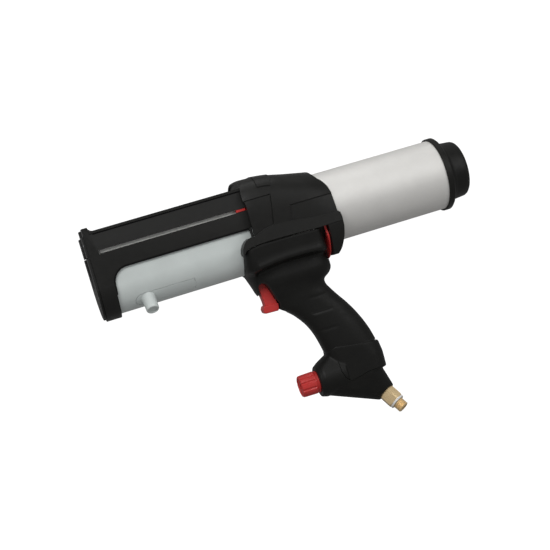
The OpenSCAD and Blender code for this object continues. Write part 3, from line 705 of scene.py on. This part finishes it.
def trigger_pocket():
    """The hollow in the front of the grip and the slot above it that the trigger swings in."""
    arch = [(-158.9, -70.9), (-157.6, -65.0), (-157.2, -59.0), (-158.2, -56.8), (-160.4, -56.0),
            (-163.0, -56.2), (-165.6, -58.6), (-167.6, -63.0), (-169.6, -69.0), (-172.6, -76.4),
            (-175.0, -81.2), (-174.6, -86.0), (-173.0, -90.0), (-172.0, -95.0), (-140.0, -95.0),
            (-140.0, -70.9)]
    slot = [(-183.0, -95.0), (-183.0, -43.0), (-156.9, -43.0), (-156.9, -95.0)]
    return prism_y(arch, -60.0, 60.0), prism_y(slot, -8.2, 8.2)


def barrel_cutters():
    """The carriage's channel and the tube's bore, as two closed meshes that overlap."""
    channel_r, channel_z, above, bore_r = 30.5, -13.8, 50.0, 37.8
    channel = []
    for x in (-191.0, -140.0):
        ring = []
        for degrees in range(0, 181, 4):
            a = math.radians(-degrees)
            ring.append((x, channel_r * math.cos(a), channel_z + channel_r * math.sin(a)))
        channel.append(ring + [(x, -channel_r, above), (x, channel_r, above)])
    return loft(channel), rod(bore_r, 0.0, 79.5, 96, turned_to_x(-270.0, 0.0, 0.0))


def add_handle():
    left = handle_half()
    valve_room = rod(9.6, 0.0, 46.0, 48, turned_to_x(-224.2, 0.0, -72.0))
    side_room = [(-244.0, -46.0), (-244.0, -10.0), (-233.0, -10.0), (-233.0, -18.0), (-235.1, -46.0)]
    lever_room = loft([lever_outline(x, 0.8) for x in (-244.0, -235.1)])
    rooms = (*trigger_pocket(), *barrel_cutters(), valve_room, prism_y(side_room, -50.0, 50.0), lever_room)
    for node, shell in (("handle_left", left), ("handle_right", mirror_y(left))):
        piece = add_piece(node + "_shell", *shell, "soft_black", "gun", (node,), sharp_deg=50.0)
        cutters = [bare_mesh(room) for room in rooms]
        if node == "handle_right":
            cutters += [screw_hole(x, z, -60.0, -10.6) for x, z in HANDLE_SCREWS]
        cut_away(piece, cutters)
        dress(piece, "soft_black", 42.0, 0.5)


# ---------- carriage ----------
SLOT_Z = 21.8
SLOT_ENDS = (-173.6, -12.6)
WINDOW_CORNER = (-32.6, -14.6)
# Outline of a very dark strip that paints the shadow in the groove under the carriage's top lip
GROOVE_SHADOW_STRIP = [(-162.0, 39.85), (-9.5, 39.85), (-9.5, 41.15), (-162.0, 41.15)]


def band_rings(outer, inner, y0, y1):
    """Rings of four corners along two XZ outlines of equal length."""
    return [[(o[0], y0, o[1]), (o[0], y1, o[1]), (i[0], y1, i[1]), (i[0], y0, i[1])]
            for o, i in zip(outer, inner)]


def closed_band(outer, inner, y0, y1):
    """A flat frame between two closed XZ outlines of equal length."""
    return join_ends(loft(band_rings(outer, inner, y0, y1)), 4)


def rounded_slot(radius):
    """Outline of the pointer's slot with round ends."""
    outline = []
    for end, sign in ((SLOT_ENDS[1], 1), (SLOT_ENDS[0], -1)):
        for degrees in range(0, 181, 15):
            a = math.radians(degrees)
            outline.append((end + sign * radius * math.sin(a), SLOT_Z + sign * radius * math.cos(a)))
    return outline


def window_edge(radius, top, foot_x):
    """Edge of the side window: straight under the panel, round the corner and down the front band."""
    x, z = WINDOW_CORNER
    edge = [(-163.0, top), (x, top)]
    for degrees in range(10, 91, 8):
        a = math.radians(degrees)
        edge.append((x + radius * math.sin(a), z + radius * math.cos(a)))
    return edge + [(foot_x, -24.0)]


def add_carriage_trim_and_painted_shade():
    """A slim mouth for the pointer's slot, and very dark strips that paint the shadow round the window's
    edge and in the groove under the top lip.
    """
    mouth = closed_band(rounded_slot(2.4), rounded_slot(1.6), 32.6, 34.1)
    add_piece("slot_mouth", *mouth, "black_plastic", "gun", sharp_deg=30.0)
    # Painted shadow: a very dark strip along each window's edge stands in for the shade under the panel's
    # lower edge
    outer, inner = window_edge(17.1, 2.5, -15.5), window_edge(15.3, 0.7, -16.6)
    painted_lip_shadows = [loft(band_rings(outer, inner, y0, y1)) for y0, y1 in ((31.0, 33.0), (-33.0, -31.0))]
    # Painted shadow: a very dark strip in the groove under the top lip stands in for the groove's shade
    painted_groove_shadows = [prism_y(GROOVE_SHADOW_STRIP, y0, y1) for y0, y1 in ((33.0, 33.6), (-33.6, -33.0))]
    add_piece("window_painted_shadow", *join_shells(*painted_lip_shadows, *painted_groove_shadows), "seal_rubber", "gun", sharp_deg=30.0)


# ---------- trigger, lever and knob ----------
def add_trigger():
    pin_x, pin_z, eye_r = -163.0, -50.0, 5.4
    eye = [(pin_x + eye_r * math.cos(math.radians(a)), pin_z + eye_r * math.sin(math.radians(a)))
           for a in range(0, 181, 12)]
    back = [(-168.4, -54.0), (-168.6, -60.0), (-169.4, -66.5), (-171.6, -74.0), (-173.2, -79.0),
            (-173.4, -82.4)]
    front = [(-160.0, -82.4), (-160.2, -79.6), (-160.3, -77.4), (-160.1, -74.4), (-159.6, -70.4),
             (-158.9, -66.0), (-158.4, -61.4), (-158.1, -56.6)]
    add_piece("trigger_blade", *prism_y(eye + back + front, -7.2, 7.2), "red_plastic", "trigger",
              ("trigger",), sharp_deg=28.0, bevel=0.8)
    foot = []            # height, front x, back x and half width of each step
    for z, toe, heel, half in ((-79.9, -159.8, -173.4, 7.4), (-80.6, -158.4, -173.9, 8.0),
                               (-83.4, -157.0, -173.9, 7.7), (-86.9, -157.4, -173.3, 7.0),
                               (-88.2, -159.0, -172.4, 6.2)):
        foot.append([(toe, half, z), (heel, half, z - 0.6), (heel, -half, z - 0.6), (toe, -half, z)])
    add_piece("trigger_foot", *loft(foot), "red_plastic", "trigger", ("trigger",), sharp_deg=16.0,
              bevel=0.35)


LEVER_HALF, LEVER_DEPTH, LEVER_POWER = 42.4, 52.6, 2.6      # half width, depth and squareness


def lever_outline(x, grown):
    """Closed outline of the lever's outer edge, from side to side under the tube."""
    outline = []
    for k in range(65):
        c, s = power_circle(math.radians(-30.0 - 120.0 * k / 64), LEVER_POWER)
        outline.append((x, (LEVER_HALF + grown) * c, (LEVER_DEPTH + grown) * s))
    return outline


def add_lever():
    """A thin U-shaped blade with an eye at each end."""
    back_x, inner_r, pin_x, pin_z = -239.4, 38.95, -238.0, -12.0
    eye_r, eye_in, eye_out = 2.7, 39.2, 41.5
    rings = []
    for k in range(65):
        a = math.radians(-12.5 - 155.0 * k / 64)
        c, s = power_circle(a, LEVER_POWER)
        z = LEVER_DEPTH * s
        y = (LEVER_HALF - 4.2 * ease(-29.0, -22.0, z)) * c
        front_x = lerp(-236.8, -238.2, ease(15.0, 40.0, -z))
        inner = (inner_r * math.cos(a), inner_r * math.sin(a))
        rings.append([(front_x, y, z), (back_x, y, z), (back_x, *inner), (front_x, *inner)])
    eyes = [rod(eye_r, 0.0, eye_out - eye_in, 32, turned_to_y(pin_x, y, pin_z)) for y in (eye_in, -eye_out)]
    add_piece("retract_lever_blade", *join_shells(loft(rings), *eyes), "red_plastic", "lever",
              ("retract_lever",), sharp_deg=40.0, bevel=0.5)


KNOB_Z = -173.0


def add_knob():
    """A fluted knob with a plain collar behind and a rimmed hollow face."""
    turn = turned_to_x(-192.2, 0.0, KNOB_Z)
    flutes, flute_depth = 10, 1.25
    profile = [(0.0, 4.0), (0.0, 11.2), (0.4, 11.7), (2.6, 11.7), (2.9, 11.2), (3.2, 11.2), (3.6, 12.0),
               (4.4, 12.0), (5.2, 12.0), (17.4, 11.7), (18.4, 11.6), (19.2, 11.3), (19.8, 10.7),
               (20.0, 10.0), (20.0, 9.5), (19.7, 9.2), (18.9, 9.0), (18.7, 8.6), (18.7, 3.6), (18.5, 3.3),
               (17.0, 3.3)]

    def fluted(angle, height, radius):
        if radius < 9.9 or height < 4.0:
            return radius
        wave = math.cos(flutes * angle)
        depth = flute_depth * ease(4.0, 5.2, height) * (1 - 0.5 * ease(17.6, 19.6, height))
        return radius - depth * ease(0.30, 0.95, wave)

    add_piece("regulator_knob_grip", *lathe(profile, 240, turn, fluted), "red_plastic", "knob",
              ("regulator_knob",), sharp_deg=40.0)


# ---------- regulator and inlet ----------
INLET_ROOT = Vector((-260.8, 0.4, -206.8))
INLET_TURN = (Matrix.Translation(INLET_ROOT) @ Matrix.Rotation(math.radians(28), 4, "Y")
              @ Matrix.Rotation(math.radians(207), 4, "X"))


def hull_of(points):
    """The convex hull of some points, as points and faces."""
    work = bmesh.new()
    for p in points:
        work.verts.new(p)
    bmesh.ops.convex_hull(work, input=work.verts)
    loose = [v for v in work.verts if not v.link_faces]
    bmesh.ops.delete(work, geom=loose, context="VERTS")
    work.verts.index_update()
    shell = [tuple(v.co) for v in work.verts], [tuple(v.index for v in f.verts) for f in work.faces]
    work.free()
    return shell


def disc(x, y, z, radius, axis="Z", n=40):
    points = []
    for k in range(n):
        c, s = radius * math.cos(math.tau * k / n), radius * math.sin(math.tau * k / n)
        points.append((x + c, y + s, z) if axis == "Z" else (x, y + c, z + s))
    return points


def ribbon_y(path, half, side):
    """A thin upright blade along an XZ path, from inside the wall to outside it, for cutting a seam."""
    left, right = [], []
    for i, (x, z) in enumerate(path):
        ahead, behind = path[min(i + 1, len(path) - 1)], path[max(i - 1, 0)]
        way = Vector((ahead[0] - behind[0], ahead[1] - behind[1])).normalized() * half
        left.append((x - way.y, z + way.x))
        right.append((x + way.y, z - way.x))
    low, high = (14.2, 40.0) if side > 0 else (-40.0, -14.2)
    return prism_y(left + right[::-1], low, high)


def add_regulator():
    """The base of the grip: an upper body, the knob's boss and the inlet's neck, blended together."""
    rim, peak_x = [], -218.0
    for x, y, _ in handle_ring(147.0):
        if x < peak_x:
            z = lerp(-142.0, -149.6, (peak_x - x) / 45.0)
        else:
            z = lerp(-142.0, -147.0, (x - peak_x) / 11.0)
        grow = lerp(0.6, -2.2, ease(230.0, 258.0, -x))
        rim += [(x + grow, side * (y + 0.9), z) for side in (1, -1)]
    upper = hull_of(rim + disc(-252.2, 0, -162.0, 17.2) + disc(-252.4, 0, -178.6, 16.6)
                    + disc(-226.0, 0, -181.0, 15.4))
    boss = hull_of(disc(-222.0, 0, -171.8, 18.9, "X") + disc(-197.6, 0, -172.6, 18.9, "X")
                   + disc(-192.0, 0, -173.6, 16.2, "X") + disc(-215.0, 0, -149.8, 10.0))
    collar = [INLET_TURN @ Vector(p) for p in disc(0, 0, 0.2, 11.0)]
    collar += [INLET_TURN @ Vector(p) for p in disc(0, 0, -5.0, 11.9)]
    neck = hull_of(disc(-197.0, 0, -176.4, 13.6, "X") + disc(-212.0, 0, -180.2, 14.6, "X")
                   + disc(-248.0, 0, -180.0, 16.2) + collar)
    piece = add_piece("regulator_shell", *join_shells(upper, boss, neck), "soft_black", "gun",
                      ("regulator_body",), sharp_deg=60.0)
    melt = piece.modifiers.new("melt", "REMESH")
    melt.mode = "VOXEL"
    melt.voxel_size = 0.8 * MM
    relax = piece.modifiers.new("relax", "SMOOTH")
    relax.factor = 0.5
    relax.iterations = 7
    bpy.context.view_layer.update()
    apply_modifiers(piece)
    seam = [(-215.4, -148.0), (-216.4, -158.0), (-216.0, -168.0), (-218.6, -176.0), (-224.0, -181.6),
            (-233.0, -180.0), (-245.0, -177.4), (-270.0, -176.4)]
    socket = rod(10.5, 0.0, 46.0, 48, turned_to_x(-236.0, 0.0, KNOB_Z))
    inlet_bore = rod(6.0, -22.0, 8.0, 48, INLET_TURN)
    rooms = (ribbon_y(seam, 0.28, 1), ribbon_y(seam, 0.28, -1), socket, inlet_bore)
    cut_away(piece, [bare_mesh(room) for room in rooms])
    dress(piece, "soft_black", 45.0, 0.0)


def add_inlet():
    """Brass fitting: a chamfered hexagon, a neck and a stub with a real helical thread and bore."""
    hex_half, thread_r, pitch = 8.5, 6.58, 1.337
    steps, count = 96, 84                        # round the fitting, and along its thread
    profile = [(-10.0, 5.9), (-0.4, 5.9), (-0.4, 8.3), (0.0, 8.6), (1.1, 10.0), (13.2, 10.0), (14.3, 8.6),
               (14.5, 8.2), (14.5, 5.6), (16.7, 5.6), (16.9, 5.7)]
    profile += [(17.1 + 7.2 * k / count, thread_r) for k in range(count + 1)]
    profile += [(25.0, 5.9), (25.2, 5.5), (25.2, 4.4), (24.8, 3.95), (-10.0, 3.95)]

    def shaped(angle, height, radius):
        if 0.0 <= height <= 14.3 and radius > 8.0:
            flat = hex_half / math.cos((angle + math.pi / 6) % (math.pi / 3) - math.pi / 6)
            return min(radius, flat)
        if 17.0 < height < 24.4 and radius > 6.0:
            turn = (height / pitch - angle / math.tau) % 1.0
            fade = ease(17.1, 18.0, height) * (1 - ease(23.6, 24.3, height))
            return radius - 0.8 * abs(2 * turn - 1) * (0.35 + 0.65 * fade)
        return radius

    fitting = join_ends(lathe(profile, steps, INLET_TURN, shaped), steps)
    add_piece("inlet_fitting_turned", *fitting, "brass", "gun", ("inlet_fitting",), sharp_deg=30.0)


def add_cap_fillet():
    """The hollow round between the end flange and the cap."""
    profile = [(0.0, 30.0), (0.0, 37.0), (0.5, 35.4), (1.3, 34.0), (2.6, 32.9), (4.2, 32.2), (6.4, 31.8),
               (6.4, 30.0)]
    fillet = lathe(profile, 96, turned_to_x(-387.4, 0.0, 0.0, backwards=True))
    add_piece("cap_fillet", *fillet, "black_plastic", "gun", sharp_deg=40.0)


# ---------- the gun ----------
slot_of = {node.name: node.material_slots[0].material.name for node in nodes.values()}
for name, node in nodes.items():
    finish_cad_node(node, slot_of[name])
add_housing()
add_carriage_trim_and_painted_shade()
add_handle()
add_trigger()
add_lever()
add_knob()
add_regulator()
add_inlet()
add_cap_fillet()

# ---------- studio ----------
bpy.context.scene.view_settings.view_transform = "Standard"
add_camera()
add_world()
lowest = min(corner[2] for corner in cad_box)
add_floor(lowest - 0.5 * MM)
add_softbox("key", (0.25, 1.1, 0.72), (-0.18, 0.0, 0.0), (1.0, 0.7), 9.0)
add_softbox("fill", (-0.9, 0.9, 0.3), (-0.2, 0.0, -0.05), (0.6, 0.8), 2.6)
add_softbox("top", (-0.2, 0.1, 1.15), (-0.2, 0.0, 0.0), (1.1, 0.8), 4.0)
